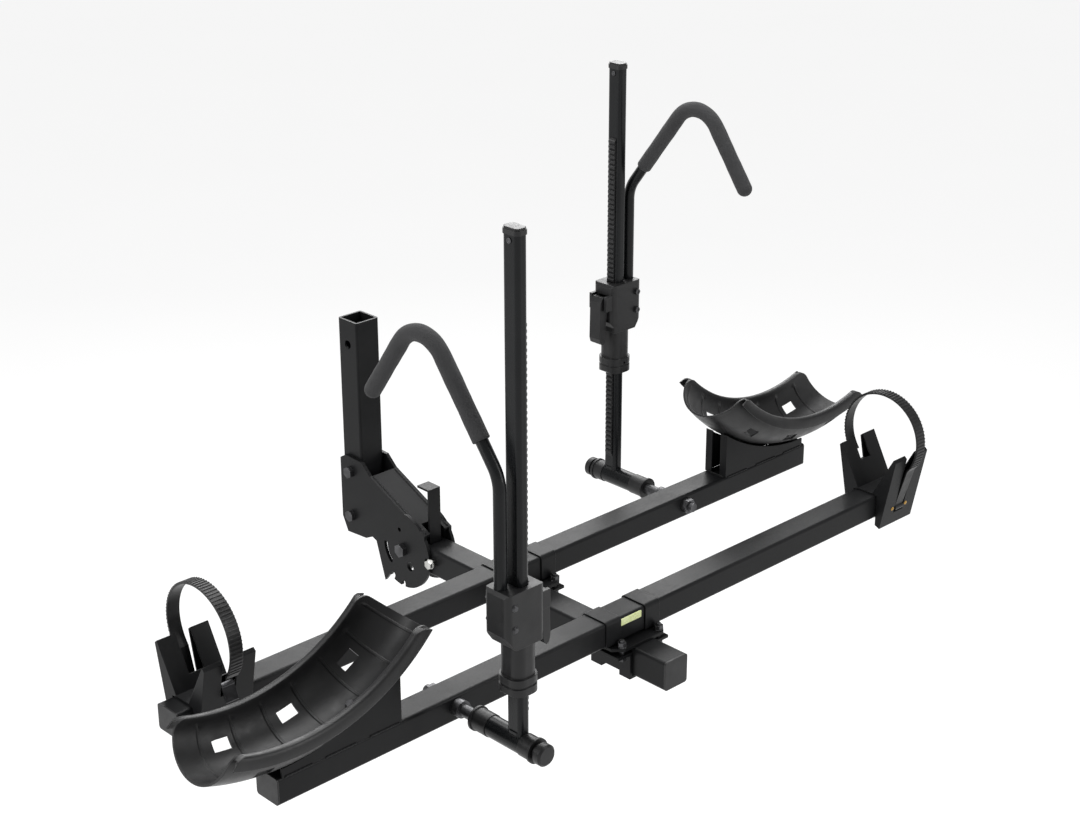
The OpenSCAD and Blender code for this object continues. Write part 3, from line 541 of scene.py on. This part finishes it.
def window_spans():
    """The stretches of the inner skin's indices that the windows take up, one on each side of the trough."""
    inside = [k for k in range(ARC_STEPS + 1) if WINDOW_ARC[0] < 180.0 * k / ARC_STEPS < WINDOW_ARC[1]]
    low_k, high_k = inside[0], inside[-1]
    return [(low_k, high_k), (ARC_STEPS - high_k, ARC_STEPS - low_k)]


def cradle_strip(bm, a, b, t0, t1):
    """Faces between neighbouring rings a and b, which stand at t0 and t1, with any window left open."""
    spans, size = window_spans(), len(a)
    opened = any(t - WINDOW_HALF - SAME <= t0 and t1 <= t + WINDOW_HALF + SAME for t in WINDOWS)
    for k in range(size):
        j = (k + 1) % size
        inner_gap = any(low_k <= k < high_k for low_k, high_k in spans)
        outer_gap = any(behind(high_k) <= k < behind(low_k) for low_k, high_k in spans)
        if not (opened and (inner_gap or outer_gap)):
            bm.faces.new((a[k], a[j], b[j], b[k]))
    if not opened:
        return
    walls = [a] if any(abs(t0 - t + WINDOW_HALF) < SAME for t in WINDOWS) else []
    walls += [b] if any(abs(t1 - t - WINDOW_HALF) < SAME for t in WINDOWS) else []
    for low_k, high_k in spans:
        for k in (low_k, high_k):
            bm.faces.new((a[k], b[k], b[behind(k)], a[behind(k)]))
        for ring in walls:
            for k in range(low_k, high_k):
                bm.faces.new((ring[k], ring[k + 1], ring[behind(k + 1)], ring[behind(k)]))


def cradle_end(bm, ring):
    """Closes the trough's wall and its two rims at one end."""
    for k in range(ARC_STEPS):
        bm.faces.new((ring[k], ring[k + 1], ring[behind(k + 1)], ring[behind(k)]))
    near_rim = range(ARC_STEPS, behind(ARC_STEPS) + 1)
    far_rim = [*range(behind(0), len(ring)), 0]
    for outline in (near_rim, far_rim):
        bm.faces.new([ring[k] for k in outline])


def wheel_cradle(side):
    sign = SIDES[side]
    bm = bmesh.new()
    rows, rings = cradle_rows(), []
    for t, rib in rows:
        ring = []
        for r, across in cradle_ring(rib):
            angle, reach = math.radians(cradle_turn(t, r)), RIM_R + r
            x, z = AXLE_X + reach * math.sin(angle), AXLE_Z - reach * math.cos(angle)
            ring.append(bm.verts.new(at(x, TRAY_Y + across, z, sign)))
        rings.append(ring)
    for i in range(len(rings) - 1):
        cradle_strip(bm, rings[i], rings[i + 1], rows[i][0], rows[i + 1][0])
    cradle_end(bm, rings[0])
    cradle_end(bm, rings[-1])
    obj = piece(f"{side}_cradle_shell", bm, "black_plastic", "rack", (f"{side}_wheel_cradle",))
    obj.data.set_sharp_from_angle(angle=math.radians(38.0))


# The sloping joints between the fold bracket's web and its side plates, as (y, z) of their two ends.
BRACKET_HALF, WEB_LOW_END, WEB_TOP_END = 25.4, (338.0, 74.6), (480.0, 139.4)


def bracket_welds():
    bm = bmesh.new()
    for face in (-1, 1):
        line = [at(face * BRACKET_HALF, y, z) for y, z in (WEB_LOW_END, WEB_TOP_END)]
        bead(bm, line, 2.0)
    piece("bracket_welds", bm, "powder_black", "hitch_mount")


# The strap anchor's rivets: from the pin's middle, out on the holder's leaning wall, and up.
RIVET_OUT, RIVET_HALF_GAP, RIVET_Z = 42.3, 19.0, 74.0
HOLDER_LEAN = 0.196


def holder_rivets(side):
    sign = SIDES[side]
    bm = bmesh.new()
    pin_low, pin_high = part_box(f"{side}_strap_pin")
    middle_x = abs(pin_low.x + pin_high.x) / 2 / MM
    for x in (-middle_x - RIVET_HALF_GAP, -middle_x + RIVET_HALF_GAP):
        dome(bm, at(x, TRAY_Y + RIVET_OUT, RIVET_Z, sign), Vector((0, sign, -HOLDER_LEAN)), 4.0, 2.0)
    piece(f"{side}_anchor_rivets", bm, "amber_rivet", f"{side}_holder")


for side in SIDES:
    mast_details(side)
    wheel_cradle(side)
    cradle_support_welds(side)
    holder_rivets(side)
bracket_welds()

# ---------------------------------------------------------------- studio
low, high = (Vector(corner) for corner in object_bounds())
middle = (low + high) / 2
# The rack hangs from a vehicle, so the floor lies far enough below it to clear the rack when it folds down.
FLOOR_Z = low.z - 1.05


def stage_floor():
    """A wide round floor whose edge curls up, so that it fills the view from any side."""
    bm = bmesh.new()
    flat, rise, around = 50.0, 11.0, 72
    curl = [math.radians(9 * i) for i in range(1, 11)]
    profile = [(6.0, 0.0), (18.0, 0.0), (flat, 0.0)]
    profile += [(flat + rise * math.sin(a), rise * (1 - math.cos(a))) for a in curl]
    centre = bm.verts.new((0.0, 0.0, FLOOR_Z))
    turns = [2 * math.pi * k / around for k in range(around)]
    loops = []
    for r, z in profile:
        loops.append([bm.verts.new((r * math.cos(a), r * math.sin(a), z + FLOOR_Z)) for a in turns])
    for k in range(around):
        j = (k + 1) % around
        bm.faces.new((centre, loops[0][k], loops[0][j]))
        for a, b in zip(loops, loops[1:]):
            bm.faces.new((a[k], b[k], b[j], a[j]))
    mesh = bpy.data.meshes.new("studio_floor")
    bm.to_mesh(mesh)
    bm.free()
    obj = bpy.data.objects.new("studio_floor", mesh)
    for poly in mesh.polygons:
        poly.use_smooth = True
    bpy.context.scene.collection.objects.link(obj)
    n = Nodes("studio_paper")
    paper = n.mix(n.noise(1.5), (0.22, 0.22, 0.22), (0.24, 0.24, 0.24))
    mesh.materials.append(n.set(base=paper, rough=0.95, spec=0.0, glow=(1.0, 1.0, 1.0), glow_strength=0.82))
    obj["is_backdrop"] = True


def area_light(name, offset, size, power):
    """A soft rectangular light, offset from the rack's middle in metres and aimed at it."""
    light = bpy.data.lights.new(name, "AREA")
    light.shape = "RECTANGLE"
    light.size, light.size_y = size
    light.energy = power
    obj = bpy.data.objects.new(name, light)
    place = middle + Vector(offset)
    obj.location = place
    obj.rotation_euler = (middle - place).to_track_quat("-Z", "Y").to_euler()
    bpy.context.scene.collection.objects.link(obj)


stage_floor()
area_light("top_soft", (0.5, 0.6, 2.6), (3.0, 2.4), 105.0)
area_light("left_strip", (-3.2, 0.9, 1.2), (0.7, 2.6), 62.0)
area_light("right_strip", (1.3, -3.2, 1.3), (0.6, 2.6), 42.0)
area_light("back_soft", (2.2, 2.8, 1.6), (2.6, 1.6), 80.0)

world = bpy.data.worlds.new("studio_world")
bpy.context.scene.world = world
world.use_nodes = True
sky = world.node_tree.nodes["Background"].inputs
sky["Color"].default_value = (1.0, 1.0, 1.0, 1.0)
sky["Strength"].default_value = 0.40
bpy.context.scene.view_settings.view_transform = "Standard"

# ---------------------------------------------------------------- camera
EYE = (-2123.25, -2149.64, 1658.8)
AZIMUTH, ELEVATION, ROLL = math.radians(-43.67), math.radians(22.74), math.radians(-0.15)
camera = bpy.data.cameras.new("camera")
camera.lens = 68.68
camera.sensor_width = 36.0
camera.clip_end = 60.0
eye = bpy.data.objects.new("camera", camera)
turn = Matrix.Rotation(AZIMUTH, 4, "Z") @ Matrix.Rotation(math.pi / 2 - ELEVATION, 4, "X")
eye.matrix_world = Matrix.Translation(at(*EYE)) @ turn @ Matrix.Rotation(ROLL, 4, "Z")
bpy.context.scene.collection.objects.link(eye)
bpy.context.scene.camera = eye
